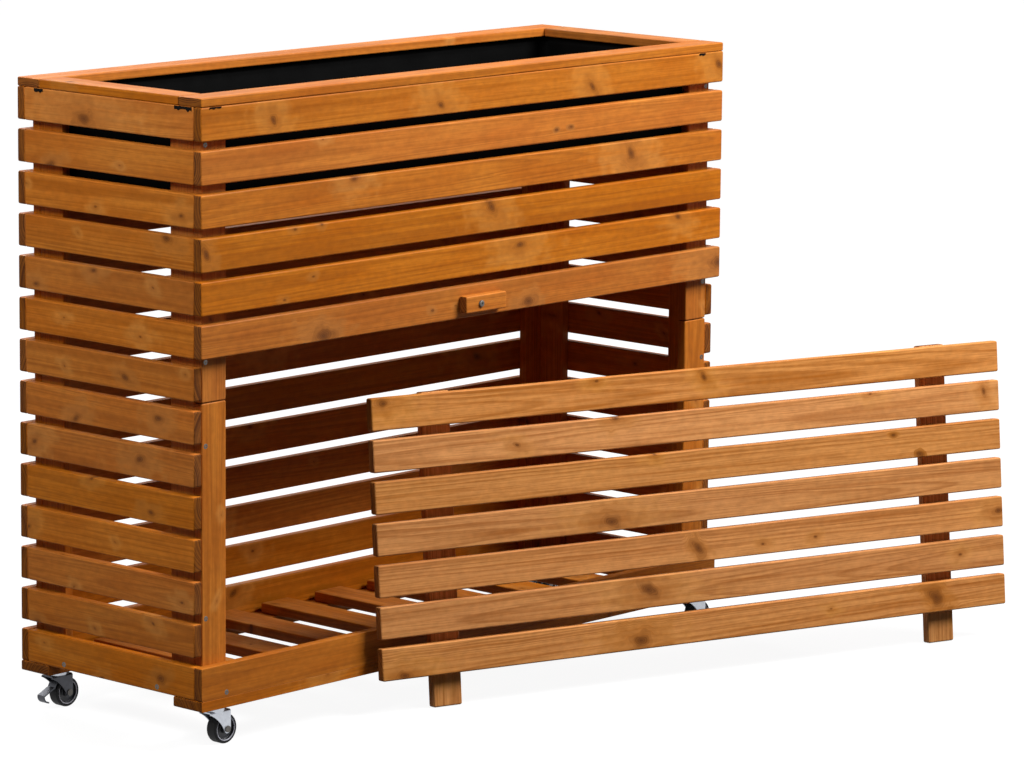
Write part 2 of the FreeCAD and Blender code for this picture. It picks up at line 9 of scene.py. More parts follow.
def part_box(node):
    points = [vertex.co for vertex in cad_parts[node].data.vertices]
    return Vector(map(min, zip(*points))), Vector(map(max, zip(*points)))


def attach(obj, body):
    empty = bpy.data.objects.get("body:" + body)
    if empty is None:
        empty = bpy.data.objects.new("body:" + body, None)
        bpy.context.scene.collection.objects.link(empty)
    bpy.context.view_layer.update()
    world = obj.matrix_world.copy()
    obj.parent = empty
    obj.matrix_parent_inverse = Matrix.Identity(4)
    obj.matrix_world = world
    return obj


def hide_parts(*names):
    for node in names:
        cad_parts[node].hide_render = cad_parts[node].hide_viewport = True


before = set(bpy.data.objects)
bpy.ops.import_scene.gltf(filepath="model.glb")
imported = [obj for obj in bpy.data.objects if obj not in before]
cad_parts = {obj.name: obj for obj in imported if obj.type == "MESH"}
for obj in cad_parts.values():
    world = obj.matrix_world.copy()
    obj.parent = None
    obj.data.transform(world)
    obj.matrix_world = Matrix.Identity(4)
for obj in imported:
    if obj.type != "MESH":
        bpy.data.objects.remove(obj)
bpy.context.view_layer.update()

# Base boards: two planed pine boards under the front and rear walls, flush with the outside.
# Like all the timber they are sawn from one stock, sanded round at every arris and dipped in a
# honey-brown stain, so the whole of the timber work shares the functions of this section.
X, Y, Z = Vector((1, 0, 0)), Vector((0, 1, 0)), Vector((0, 0, 1))
MM = 0.001
HAIR = 1e-6
CUT_SNAP = 1e-7
FAR_OFF = 10.0
ARRIS = 2.0 * MM
SHARP_ARRIS = 0.6 * MM
FACE_CORNER = 2.6 * MM
LONG_BOARD = 300 * MM
WALL_PALE = (0.0, 0.1)
PITH_SHIFT = 30 * MM
PITH_DEPTH = (25 * MM, 80 * MM)
TAPER = 0.016

# Knots: their step along a board as a share of its length, and their reach in radii and to a cut
KNOT_STEP = (0.24, 0.6)
KNOT_STEP_VARIES = (0.6, 1.5)
KNOT_STEP_LEAST = 120 * MM
KNOT_RADII = (1.5, 2.0, 3.0, 4.5, 7.0)
KNOT_TURN = 0.6
KNOT_SPREAD = 8
KNOT_SPREAD_LEAST = 1.1
KNOT_REACH = 0.36


def linear(code):
    """An sRGB hex colour as the linear value that a colour socket takes."""
    parts = [int(code[i:i + 2], 16) / 255 for i in (1, 3, 5)]
    return [*(c / 12.92 if c <= 0.04045 else ((c + 0.055) / 1.055) ** 2.4 for c in parts), 1.0]


def add(tree, kind, sockets=None, **settings):
    """Adds a node with its settings; sockets take a value or the output that feeds them."""
    made = tree.nodes.new(kind)
    for name, value in settings.items():
        setattr(made, name, value)
    for key, value in (sockets or {}).items():
        if isinstance(value, bpy.types.NodeSocket):
            tree.links.new(value, made.inputs[key])
        else:
            made.inputs[key].default_value = value
    return made


def surface(name):
    """A new material, with its node tree and its shader."""
    material = bpy.data.materials.new(name)
    material.use_nodes = True
    tree = material.node_tree
    return material, tree, tree.nodes["Principled BSDF"]


def stained_pine():
    """Sanded pine under a thin brown stain: growth rings that flow round knots, fibres and blotches.

    The rings are a solid field about a pith that lies off the board, so faces, edges and end grain
    agree. The board's own coordinates and its nearest knot come from attributes of the mesh.
    The fibres are drawn coarser than real ones, so that they show in the picture.
    """
    material, tree, shader = surface("stained_pine")
    ring_width = 3.6 * MM
    wander_length, wander_height = 240 * MM, 5 * MM
    fibre_length, fibre_width = 70 * MM, 1.7 * MM
    blotch_length, blotch_width = 170 * MM, 40 * MM
    band_length, band_width = 420 * MM, 7 * MM
    mottle_width = 8 * MM
    knot_outline = 18 * MM
    knot_ring_width = 1.9 * MM
    knot_oval = (0.56, 1.0, 0.12)
    board_spread = 17.0

    grain = add(tree, "ShaderNodeAttribute", attribute_name="grain").outputs["Vector"]
    knot = add(tree, "ShaderNodeAttribute", attribute_name="knot").outputs["Vector"]
    knot_size = add(tree, "ShaderNodeAttribute", attribute_name="knot_size").outputs["Vector"]
    cut = add(tree, "ShaderNodeAttribute", attribute_name="cut").outputs["Vector"]
    tone = add(tree, "ShaderNodeAttribute", attribute_name="tone").outputs["Vector"]
    end = add(tree, "ShaderNodeAttribute", attribute_name="end").outputs["Fac"]
    along = add(tree, "ShaderNodeSeparateXYZ", {0: grain})
    sizes = add(tree, "ShaderNodeSeparateXYZ", {0: knot_size})
    pith = add(tree, "ShaderNodeSeparateXYZ", {0: cut})
    tones = add(tree, "ShaderNodeSeparateXYZ", {0: tone})
    radius, knot_turn, reach = sizes.outputs[0], sizes.outputs[1], sizes.outputs[2]

    # Each board draws its noise from another place
    shift = add(
        tree, "ShaderNodeVectorMath", {0: tone, "Scale": board_spread}, operation="SCALE"
    ).outputs[0]
    shifted = add(tree, "ShaderNodeVectorMath", {0: grain, 1: shift}, operation="ADD").outputs[0]

    def drawn_out(length, width, detail):
        """Noise stretched along the board, for features of that length and width."""
        stretch = (1 / length, 1 / width, 1 / width)
        at = add(
            tree, "ShaderNodeVectorMath", {0: shifted, 1: stretch}, operation="MULTIPLY"
        ).outputs[0]
        return add(
            tree, "ShaderNodeTexNoise", {"Vector": at, "Scale": 1.0, "Detail": detail}
        ).outputs[0]

    wander = drawn_out(wander_length, blotch_width, 2.0)
    wander = add(tree, "ShaderNodeMath", {0: wander, 1: 0.5}, operation="SUBTRACT").outputs[0]
    fibre = drawn_out(fibre_length, fibre_width, 3.0)
    blotch = drawn_out(blotch_length, blotch_width, 4.0)
    blotch = add(tree, "ShaderNodeMapRange", {0: blotch, 1: 0.3, 2: 0.7}).outputs[0]
    band = drawn_out(band_length, band_width, 2.0)

    # Distance from the knot's middle on the face, with an uneven outline
    off = add(tree, "ShaderNodeVectorMath", {0: grain, 1: knot}, operation="SUBTRACT").outputs[0]
    off_parts = add(tree, "ShaderNodeSeparateXYZ", {0: off})
    turned = add(
        tree, "ShaderNodeVectorRotate", {"Vector": off, "Axis": (0, 0, 1), "Angle": knot_turn}
    ).outputs[0]
    oval = add(
        tree, "ShaderNodeVectorMath", {0: turned, 1: knot_oval}, operation="MULTIPLY"
    ).outputs[0]
    away = add(tree, "ShaderNodeVectorMath", {0: oval}, operation="LENGTH").outputs["Value"]
    uneven = add(
        tree, "ShaderNodeTexNoise", {"Vector": shifted, "Scale": 1 / knot_outline, "Detail": 1.0}
    ).outputs[0]
    uneven = add(
        tree, "ShaderNodeMapRange", {0: uneven, 1: 0.25, 2: 0.75, 3: 0.65, 4: 1.35}
    ).outputs[0]
    away = add(tree, "ShaderNodeMath", {0: away, 1: uneven}, operation="MULTIPLY").outputs[0]

    # The rings part round the knot like water round a post
    share = add(tree, "ShaderNodeMath", {0: radius, 1: away}, operation="DIVIDE").outputs[0]
    share = add(tree, "ShaderNodeMath", {0: share, 1: 2.0}, operation="POWER").outputs[0]
    share = add(tree, "ShaderNodeMath", {0: share, 1: 1.0}, operation="MINIMUM").outputs[0]
    window = add(
        tree, "ShaderNodeMapRange", {0: away, 1: radius, 2: reach, 3: 1.0, 4: 0.0},
        interpolation_type="SMOOTHSTEP",
    ).outputs[0]
    pull = add(tree, "ShaderNodeMath", {0: share, 1: window}, operation="MULTIPLY").outputs[0]
    pull = add(
        tree, "ShaderNodeMath", {0: pull, 1: off_parts.outputs[1]}, operation="MULTIPLY"
    ).outputs[0]
    across = add(
        tree, "ShaderNodeMath", {0: along.outputs[1], 1: pull}, operation="SUBTRACT"
    ).outputs[0]
    across = add(
        tree, "ShaderNodeMath", {0: wander, 1: 2 * wander_height, 2: across}, operation="MULTIPLY_ADD"
    ).outputs[0]
    from_pith_v = add(
        tree, "ShaderNodeMath", {0: across, 1: pith.outputs[0]}, operation="SUBTRACT"
    ).outputs[0]
    from_pith_w = add(
        tree, "ShaderNodeMath", {0: along.outputs[2], 1: pith.outputs[1]}, operation="SUBTRACT"
    ).outputs[0]
    from_pith = add(tree, "ShaderNodeCombineXYZ", {0: from_pith_v, 1: from_pith_w}).outputs[0]
    age = add(tree, "ShaderNodeVectorMath", {0: from_pith}, operation="LENGTH").outputs["Value"]
    age = add(
        tree, "ShaderNodeMath", {0: along.outputs[0], 1: pith.outputs[2], 2: age},
        operation="MULTIPLY_ADD",
    ).outputs[0]
    years = add(tree, "ShaderNodeMath", {0: age, 1: ring_width}, operation="DIVIDE").outputs[0]
    season = add(
        tree, "ShaderNodeTexNoise", {"W": years, "Scale": 0.35}, noise_dimensions="1D"
    ).outputs[0]
    years = add(
        tree, "ShaderNodeMath", {0: season, 1: 4.0, 2: years}, operation="MULTIPLY_ADD"
    ).outputs[0]
    ring = add(tree, "ShaderNodeMath", {0: years}, operation="FRACT").outputs[0]
    late = add(tree, "ShaderNodeValToRGB", {0: ring})
    late.color_ramp.interpolation = "EASE"
    late.color_ramp.elements[0].position = 0.35
    late.color_ramp.elements[1].position = 0.82
    late.color_ramp.elements.new(1.0).color = (0, 0, 0, 1)
    late = late.outputs[0]

    # How much of each colour shows: the board's paleness, which on the front panel is a painted sheen,
    # late wood, fibres and broad bands
    paleness_and_sheen = add(tree, "ShaderNodeMath", {0: tones.outputs[2], 1: 0.8}, operation="MULTIPLY").outputs[0]
    line = add(tree, "ShaderNodeMath", {0: late, 1: 0.48}, operation="MULTIPLY").outputs[0]
    streak = add(
        tree, "ShaderNodeMapRange", {0: fibre, 1: 0.42, 2: 0.74, 3: 0.0, 4: 0.48}
    ).outputs[0]
    banded = add(tree, "ShaderNodeMapRange", {0: band, 1: 0.5, 2: 0.72, 3: 0.0, 4: 0.52}).outputs[0]

    # The pale flare and the brown halo round a knot end within its reach
    flare = add(tree, "ShaderNodeMath", {0: window, 1: band}, operation="MULTIPLY").outputs[0]
    halo_end = add(tree, "ShaderNodeMath", {0: radius, 1: 4.2}, operation="MULTIPLY").outputs[0]
    halo_end = add(tree, "ShaderNodeMath", {0: halo_end, 1: reach}, operation="MINIMUM").outputs[0]
    halo = add(
        tree, "ShaderNodeMapRange", {0: away, 1: radius, 2: halo_end, 3: 0.9, 4: 0.0},
        interpolation_type="SMOOTHSTEP",
    ).outputs[0]
    halo = add(tree, "ShaderNodeMath", {0: halo, 1: band}, operation="MULTIPLY").outputs[0]

    # The knot itself has rings, a thin edge of bark and a dark core
    inner = add(tree, "ShaderNodeMath", {0: radius, 1: 0.4}, operation="MULTIPLY").outputs[0]
    outer = add(tree, "ShaderNodeMath", {0: radius, 1: 1.15}, operation="MULTIPLY").outputs[0]
    inside = add(
        tree, "ShaderNodeMapRange", {0: away, 1: inner, 2: outer, 3: 1.0, 4: 0.0},
        interpolation_type="SMOOTHSTEP",
    ).outputs[0]
    inside = add(tree, "ShaderNodeMath", {0: inside, 1: 0.75}, operation="MULTIPLY").outputs[0]
    knot_rings = add(
        tree, "ShaderNodeMath", {0: away, 1: 2 * math.pi / knot_ring_width}, operation="MULTIPLY"
    ).outputs[0]
    knot_rings = add(tree, "ShaderNodeMath", {0: knot_rings}, operation="SINE").outputs[0]
    knot_rings = add(tree, "ShaderNodeMapRange", {0: knot_rings, 1: -1.0, 2: 1.0}).outputs[0]
    heart = add(
        tree, "ShaderNodeMix", {0: knot_rings, 6: linear("#6E3A12"), 7: linear("#94561F")},
        data_type="RGBA",
    ).outputs[2]
    bark_at = add(tree, "ShaderNodeMath", {0: away, 1: radius}, operation="DIVIDE").outputs[0]
    bark = add(tree, "ShaderNodeMath", {0: bark_at, 1: 0.97}, operation="SUBTRACT").outputs[0]
    bark = add(tree, "ShaderNodeMath", {0: bark}, operation="ABSOLUTE").outputs[0]
    bark = add(tree, "ShaderNodeMapRange", {0: bark, 1: 0.02, 2: 0.14, 3: 0.14, 4: 0.0}).outputs[0]
    core = add(tree, "ShaderNodeMapRange", {0: bark_at, 1: 0.1, 2: 0.7, 3: 0.7, 4: 0.0}).outputs[0]
    end_grain = add(
        tree, "ShaderNodeMix", {0: late, 6: linear("#7C4719"), 7: linear("#3C1805")}, data_type="RGBA"
    ).outputs[2]
    ended = add(tree, "ShaderNodeMath", {0: end, 1: 0.92}, operation="MULTIPLY").outputs[0]

    # Colour: stain over early wood, and each layer over the one before
    colour = add(
        tree, "ShaderNodeMix", {0: blotch, 6: linear("#B9651F"), 7: linear("#C97A2E")},
        data_type="RGBA",
    ).outputs[2]
    layers = (
        # The board's pale tone: a little at random on the walls, a painted sheen on the front panel
        (paleness_and_sheen, linear("#E5A569")),
        (line, linear("#96521A")),
        (streak, linear("#925016")),
        (banded, linear("#9A5215")),
        (flare, linear("#D9964E")),
        (halo, linear("#974E14")),
        (inside, heart),
        (bark, linear("#5E2F0C")),
        (core, linear("#542A0B")),
        (ended, end_grain),
    )
    for amount, stain in layers:
        colour = add(
            tree, "ShaderNodeMix", {0: amount, 6: colour, 7: stain}, data_type="RGBA"
        ).outputs[2]
    depth = add(tree, "ShaderNodeMapRange", {0: tones.outputs[0], 3: 0.88, 4: 1.05}).outputs[0]
    mottle_at = add(
        tree, "ShaderNodeVectorMath", {0: shifted, 1: (0.6, 1.0, 1.0)}, operation="MULTIPLY"
    ).outputs[0]
    mottle = add(
        tree, "ShaderNodeTexNoise", {"Vector": mottle_at, "Scale": 1 / mottle_width, "Detail": 4.0}
    ).outputs[0]
    mottle = add(tree, "ShaderNodeMapRange", {0: mottle, 1: 0.3, 2: 0.7, 3: 0.9, 4: 1.1}).outputs[0]
    depth = add(tree, "ShaderNodeMath", {0: depth, 1: mottle}, operation="MULTIPLY").outputs[0]
    warmth = add(tree, "ShaderNodeMapRange", {0: tones.outputs[1], 3: 1.0, 4: 1.04}).outputs[0]
    colour = add(
        tree, "ShaderNodeHueSaturation", {"Saturation": warmth, "Value": depth, "Color": colour}
    ).outputs[0]
    tree.links.new(colour, shader.inputs["Base Color"])

    # Gloss: a thin satin stain, dryer on the end grain
    gloss = add(tree, "ShaderNodeMapRange", {0: blotch, 3: 0.62, 4: 0.5}).outputs[0]
    gloss = add(tree, "ShaderNodeMath", {0: end, 1: 0.25, 2: gloss}, operation="MULTIPLY_ADD").outputs[0]
    tree.links.new(gloss, shader.inputs["Roughness"])
    shader.inputs["Specular IOR Level"].default_value = 0.16
    relief = add(
        tree, "ShaderNodeMath", {0: fibre, 1: 1.4, 2: late}, operation="MULTIPLY_ADD"
    ).outputs[0]
    bump = add(
        tree, "ShaderNodeBump", {"Height": relief, "Strength": 0.5, "Distance": 0.12 * MM}
    ).outputs[0]
    tree.links.new(bump, shader.inputs["Normal"])
    return material


pine = stained_pine()
timber = random.Random(11)


def solids(node, turn=Matrix.Identity(4)):
    """The boxes of a node's separate solids in a turned frame, as (lowest, highest) corners."""
    shell = bmesh.new()
    shell.from_mesh(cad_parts[node].data)
    bmesh.ops.transform(shell, matrix=turn, verts=shell.verts)
    bmesh.ops.remove_doubles(shell, verts=shell.verts, dist=HAIR)
    left = set(shell.verts)
    boxes = []
    while left:
        edge = [left.pop()]
        low, high = edge[0].co.copy(), edge[0].co.copy()
        while edge:
            vert = edge.pop()
            low = Vector(map(min, low, vert.co))
            high = Vector(map(max, high, vert.co))
            for link in vert.link_edges:
                other = link.other_vert(vert)
                if other in left:
                    left.remove(other)
                    edge.append(other)
        boxes.append((low, high))
    shell.free()
    return boxes


def laid(low, high, along, out):
    """A board's length, width and thickness, and the matrix that lays it in a box, face outwards."""
    across = out.cross(along)
    span = high - low
    size = [abs(span.dot(axis)) for axis in (along, across, out)]
    place = Matrix((along, across, out)).transposed().to_4x4()
    place.translation = (low + high) / 2
    return size, place


def finished(shape, name):
    """The mesh of a shape that is done."""
    mesh = bpy.data.meshes.new(name)
    shape.to_mesh(mesh)
    shape.free()
    return mesh


def chance_knots(length, width):
    """Knots of a board that the photograph doesn't show closely: (along, across, radius, turn)."""
    knots = []
    step = timber.uniform(*KNOT_STEP)
    start = timber.uniform(-0.5, -0.5 + step) * length
    while start < length / 2:
        knots.append((
            start,
            timber.uniform(-0.5, 0.5) * width,
            timber.choice(KNOT_RADII) * MM,
            timber.uniform(-KNOT_TURN, KNOT_TURN),
        ))
        start += max(KNOT_STEP_LEAST, timber.uniform(*KNOT_STEP_VARIES) * step * length)
    return knots


def plank(size, place, knots=None, pale=WALL_PALE, arris=ARRIS):
    """One eased board as a mesh, with the attributes that its grain needs.

    It is cut between its knots, so that every face has one knot, and the knot's reach ends at the cut.
    """
    length, width = size[:2]
    board = bmesh.new()
    grain = board.verts.layers.float_vector.new("grain")
    knot = board.faces.layers.float_vector.new("knot")
    knot_size = board.faces.layers.float_vector.new("knot_size")
    cut = board.faces.layers.float_vector.new("cut")
    tone = board.faces.layers.float_vector.new("tone")
    end = board.faces.layers.float.new("end")
    bmesh.ops.create_cube(board, size=1.0)
    bmesh.ops.scale(board, vec=size, verts=board.verts)
    corners = [e for e in board.edges if abs((e.verts[0].co - e.verts[1].co).normalized().z) > 0.9]
    bmesh.ops.bevel(
        board, geom=corners, offset=FACE_CORNER, segments=2, profile=0.5, affect="EDGES", material=-1
    )
    rims = [e for e in board.edges if abs(e.verts[0].co.z - e.verts[1].co.z) < HAIR]
    made = bmesh.ops.bevel(
        board, geom=rims, offset=arris, segments=3, profile=0.5, affect="EDGES", material=-1
    )
    for face in made["faces"]:
        face.smooth = True

    if knots is None:
        knots = chance_knots(length, width)
    knots = sorted(knots)
    cuts = [(a[0] + b[0]) / 2 for a, b in zip(knots, knots[1:])]
    quarters = [length * k / 4 for k in (-1, 0, 1)] if length > LONG_BOARD else []
    for x in cuts + quarters:
        geom = board.verts[:] + board.edges[:] + board.faces[:]
        bmesh.ops.bisect_plane(board, geom=geom, plane_co=(x, 0, 0), plane_no=(1, 0, 0), dist=CUT_SNAP)
    walls = [-FAR_OFF] + cuts + [FAR_OFF]
    side = timber.choice((-1, 1))
    pith_v = timber.uniform(-PITH_SHIFT, PITH_SHIFT)
    pith_w = side * timber.uniform(*PITH_DEPTH)
    taper = timber.uniform(-TAPER, TAPER)
    # The third tone is paleness: a little at random on the walls, a painted sheen on the front panel
    character = (timber.random(), timber.random(), timber.uniform(*pale))
    for vert in board.verts:
        vert[grain] = vert.co
    for face in board.faces:
        face[end] = 1.0 if abs(face.normal.x) > 0.8 else 0.0
        face[cut] = (pith_v, pith_w, taper)
        face[tone] = character
        # A board without knots has a speck of one far off
        face[knot] = (FAR_OFF, 0, 0)
        face[knot_size] = (1 * MM, 0, 2 * MM)
        middle = face.calc_center_median().x
        for (at, over, radius, turn), wall, next_wall in zip(knots, walls, walls[1:]):
            if wall <= middle <= next_wall:
                face[knot] = (at, over, 0)
                reach = min(KNOT_SPREAD * radius, KNOT_REACH * (at - wall), KNOT_REACH * (next_wall - at))
                face[knot_size] = (radius, turn, max(KNOT_SPREAD_LEAST * radius, reach))
    bmesh.ops.transform(board, matrix=place, verts=board.verts)
    return finished(board, "plank")


def shown(name, meshes, material, body, node):
    """Joins meshes into one piece at the origin that rides on a body and stands for a node."""
    whole = bmesh.new()
    for mesh in meshes:
        whole.from_mesh(mesh)
        bpy.data.meshes.remove(mesh)
    mesh = finished(whole, name)
    mesh.materials.append(material)
    piece = bpy.data.objects.new(name, mesh)
    bpy.context.scene.collection.objects.link(piece)
    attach(piece, body)
    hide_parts(node)
    return piece


def boards(node, along, out, knots=None, arris=ARRIS):
    """Every board of a node of the planter, from the top down, with the knots given for some."""
    boxes = sorted(solids(node), key=lambda box: (-box[1].z, box[0].x))
    planks = []
    for level, (low, high) in enumerate(boxes, 1):
        size, place = laid(low, high, along, out)
        planks.append(plank(size, place, (knots or {}).get(level), arris=arris))
    return shown(node + ".timber", planks, pine, "planter", node)


def in_mm(*knots):
    """Knots written in millimetres and degrees."""
    return [(u * MM, v * MM, radius * MM, math.radians(turn)) for u, v, radius, turn in knots]


boards("base_board_front", X, -Y, arris=SHARP_ARRIS)
boards("base_board_rear", -X, Y, arris=SHARP_ARRIS)

# Corner battens: pine uprights behind the slats that the walls are screwed to from inside.
# The front pair is split one level below the fixed slats.
for side in ("left", "right"):
    boards(f"front_upper_batten_{side}", Z, -Y)
    boards(f"front_lower_batten_{side}", Z, -Y)
    boards(f"rear_batten_{side}", Z, -Y)
    boards(f"{side}_front_batten", Z, Y)
    boards(f"{side}_rear_batten", Z, -Y)

# Slatted walls: one slat stock all round, with the long slats covering the ends of the side slats.
# The fixed front slats and the top left slat have the larger knots of the boards in the photograph.
boards("rear_slats", -X, Y)
boards("right_slats", Y, X)
boards("left_slats", -Y, -X, {1: in_mm((-48, -11, 12, 10))})
boards("front_slats", X, -Y, {
    1: in_mm((-412, -4, 6, 60), (-76, -10, 6, 20), (251, -9, 7, 50), (540, 4, 7, 40)),
    2: in_mm((-315, 21, 2, 0), (172, -6, 4, 0), (204, -4, 5, 0)),
    3: in_mm((-252, 20, 5, 0), (339, 5, 11, 55)),
    4: in_mm((-540, 2, 8, 60), (-369, 20, 3, 0), (-316, 22, 3, 0), (33, 14, 8, 50)),
    5: in_mm((-390, -17, 3, 0), (-333, 10, 2.5, 0), (95, 12, 7, 0), (449, 19, 5, 30)),
    6: in_mm((-312, -16, 13, 0), (-90, -5, 2.5, 0), (-42, -3, 2, 0), (115, -14, 10, 0), (545, 0, 11, 0)),
})
boards("front_rail", X, -Y, arris=SHARP_ARRIS)

# Storage floor and trough floor: spaced pine boards, nearly all of them laid across the depth.
# The trough's boards lie on two bearers that run along the front and rear walls.
boards("storage_floor_boards", Y, Z)
boards("trough_bearer_front", X, Z)
boards("trough_bearer_rear", X, Z)
boards("trough_floor_boards", Y, Z)

# Liner: one sheet of black polythene film laid into the trough and folded up its walls, slack and
# wrinkled, its edge caught between the walls and the rim, with torn scraps left hanging out.
FILM = 0.4 * MM
CREASE = 3.4 * MM
FILM_CORNER = 12 * MM
WALL_BAND = 13 * MM
FILM_CUTS = ((X, 90), (Y, 30), (Z, 12))
TORN_TEETH = 9
TORN_LEAST = 0.35

# Folds of the film, as counts along a metre
PLEATS, SAGS, LEANS, FLOOR_FOLDS = 34, 8, 9, 14


def black_film():
    """Thin blown polythene: nearly black, with a soft sheen that breaks up on small creases."""
    material, tree, shader = surface("black_polythene_film")
    dust_width, crinkle_width = 60 * MM, 9 * MM
    place = add(tree, "ShaderNodeTexCoord").outputs["Object"]
    dust = add(
        tree, "ShaderNodeTexNoise", {"Vector": place, "Scale": 1 / dust_width, "Detail": 3.0}
    ).outputs[0]
    colour = add(
        tree, "ShaderNodeMix", {0: dust, 6: linear("#020202"), 7: linear("#060606")}, data_type="RGBA"
    ).outputs[2]
    tree.links.new(colour, shader.inputs["Base Color"])
    gloss = add(tree, "ShaderNodeMapRange", {0: dust, 3: 0.55, 4: 0.72}).outputs[0]
    tree.links.new(gloss, shader.inputs["Roughness"])
    shader.inputs["Specular IOR Level"].default_value = 0.05
    crinkle = add(
        tree, "ShaderNodeTexNoise", {"Vector": place, "Scale": 1 / crinkle_width, "Detail": 4.0}
    ).outputs[0]
    bump = add(
        tree, "ShaderNodeBump", {"Height": crinkle, "Strength": 0.5, "Distance": 0.6 * MM}
    ).outputs[0]
    tree.links.new(bump, shader.inputs["Normal"])
    return material


film_low, film_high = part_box("trough_liner")
film = bmesh.new()
bmesh.ops.create_cube(film, size=1.0)
film_size = film_high - film_low - Vector((2 * FILM, 2 * FILM, FILM))
film_middle = (film_low + film_high + Vector((0, 0, FILM))) / 2
bmesh.ops.scale(film, vec=film_size, verts=film.verts)
bmesh.ops.translate(film, vec=film_middle, verts=film.verts)
bmesh.ops.delete(film, geom=[f for f in film.faces if f.normal.z > 0.9], context="FACES_ONLY")
film_corners = [e for e in film.edges if abs(e.verts[0].co.z - e.verts[1].co.z) > 0.01]
bmesh.ops.bevel(
    film, geom=film_corners, offset=FILM_CORNER, segments=4, profile=0.5, affect="EDGES", material=-1
)
for axis, count in FILM_CUTS:
    for k in range(1, count):
        cut_at = film_middle + axis * film_size.dot(axis) * (k / count - 0.5)
        film_all = film.verts[:] + film.edges[:] + film.faces[:]
        bmesh.ops.bisect_plane(film, geom=film_all, plane_co=cut_at, plane_no=axis, dist=HAIR)
for vert in film.verts:
    from_middle = vert.co - film_middle
    inward = Vector((0, 0, 0))
    for k in (0, 1):
        if abs(from_middle[k]) > film_size[k] / 2 - WALL_BAND:
            inward[k] = -math.copysign(1, from_middle[k])
    # Pleats lean a little, sag between folds and die out towards the edge that is caught
    run = vert.co.x + vert.co.y
    height = (vert.co.z - film_low.z) / film_size.z
    lean = 0.35 * math.sin(run * LEANS)
    pleat = noise.noise(Vector((run * PLEATS + height * lean * 6, height * 1.3, 3.0)))
    sag = noise.noise(Vector((run * SAGS, height * 2.0, 9.0)))
    folded = min(1.0, max(0.0, 0.55 + 0.6 * pleat + 0.35 * sag))
    freed = min(1.0, 6 * (1.02 - height))
    slack = folded * CREASE * freed
    vert.co += inward * slack
    if height < 0.02:
        fold_at = Vector((vert.co.x * FLOOR_FOLDS, vert.co.y * FLOOR_FOLDS, 5.0))
        vert.co.z += CREASE * abs(noise.noise(fold_at))
bmesh.ops.recalc_face_normals(film, faces=film.faces)
for face in film.faces:
    face.smooth = True
bmesh.ops.solidify(film, geom=film.faces[:], thickness=FILM)


def scrap(middle, width, drop, out):
    """A torn edge of film that hangs out under the rim over the face of the top slat."""
    torn = bmesh.new()
    bmesh.ops.create_grid(torn, x_segments=TORN_TEETH, y_segments=2, size=0.5)
    for vert in torn.verts:
        ragged = timber.uniform(TORN_LEAST, 1.0) if vert.co.y < -0.4 else 0.0
        vert.co = Vector((vert.co.x * width, -drop * (ragged or 0.25 * (0.5 - vert.co.y)), 0))
    bmesh.ops.solidify(torn, geom=torn.faces[:], thickness=FILM)
    along = Z.cross(out)
    place = Matrix((along, Z, out)).transposed().to_4x4()
    place.translation = Vector(middle) + out * 2 * FILM
    bmesh.ops.transform(torn, matrix=place, verts=torn.verts)
    bmesh.ops.recalc_face_normals(torn, faces=torn.faces)
    return finished(torn, "scrap")


film_mesh = finished(film, "film")
slat_top = film_high.z
scraps = [
    scrap((-0.55, 0.141, slat_top), 18 * MM, 7 * MM, -X),
    scrap((-0.55, -0.151, slat_top), 34 * MM, 9 * MM, -X),
    scrap((-0.523, -0.186, slat_top), 22 * MM, 3 * MM, -Y),
    scrap((0.5, -0.186, slat_top), 14 * MM, 4 * MM, -Y),
]
liner = shown(
    "trough_liner.film", [film_mesh] + scraps, black_film(), "planter", "trough_liner"
)

# Rim: four flat pine boards round the trough, the long ones running through at the corners.
# They lie on the top edges of the walls and hold the liner's edge down.
boards("rim_front", X, Z)
boards("rim_rear", X, Z)
boards("rim_left", Y, Z)
boards("rim_right", Y, Z)

# Front panel: seven slats on two battens with legs, standing on the floor, turned and leaning back.
# It is of the same pine, with a painted sheen that draws its boards paler than the walls, and its slats
# are screwed on through the battens.
# Its boards are laid in the panel's own upright frame and turned with it.
PANEL_YAW, PANEL_LEAN = math.radians(-16.9), math.radians(-5.75)
# The panel's boards are drawn paler than the walls: a painted sheen
PANEL_PAINTED_SHEEN = (0.7, 0.9)
panel_turn = Matrix.Rotation(PANEL_YAW, 4, "Z") @ Matrix.Rotation(PANEL_LEAN, 4, "X")


def panel_boards(node, along, out, knots=None):
    """The boards of one node of the front panel, from the top down."""
    boxes = sorted(solids(node, panel_turn.inverted()), key=lambda box: -box[1].z)
    planks = []
    for level, (low, high) in enumerate(boxes, 1):
        size, place = laid(low, high, along, out)
        planks.append(plank(size, panel_turn @ place, (knots or {}).get(level), PANEL_PAINTED_SHEEN))
    return shown(node + ".timber", planks, pine, "front_panel", node)


panel_boards("panel_batten_left", Z, -Y)
panel_boards("panel_batten_right", Z, -Y)
panel_boards("panel_slats", X, -Y, {
    1: in_mm((-530, 15, 7, 0), (-173, 19, 3, 0), (13, 10, 5, 60)),
    2: in_mm((-312, -3, 4, 20), (-143, 22, 6, 0), (310, 21, 3.5, 0), (521, 8, 6, 80)),
    3: in_mm((-78, 23, 3, 0), (350, 15, 4.5, 0), (398, -18, 8, 20)),
    4: in_mm((-157, -10, 10, 0),),
    5: in_mm((-8, -3, 11, 50), (106, -8, 3, 0), (201, -6, 3, 0), (541, 2, 6, 0)),
    6: in_mm((-98, 4, 12, 30), (467, 1, 3, 0)),
    7: in_mm((-514, -18, 7, 0), (-114, -10, 11, 0), (225, 2, 2, 0), (419, 0, 13, 40)),
})

# Turn button: a small block of the same timber on the lowest fixed slat.
# It swings on its one screw to keep the panel shut.
button_low, button_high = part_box("turn_button")
button_size, button_place = laid(button_low, button_high, X, -Y)
button = plank(button_size, button_place, [])
shown("turn_button.timber", [button], pine, "turn_button", "turn_button")

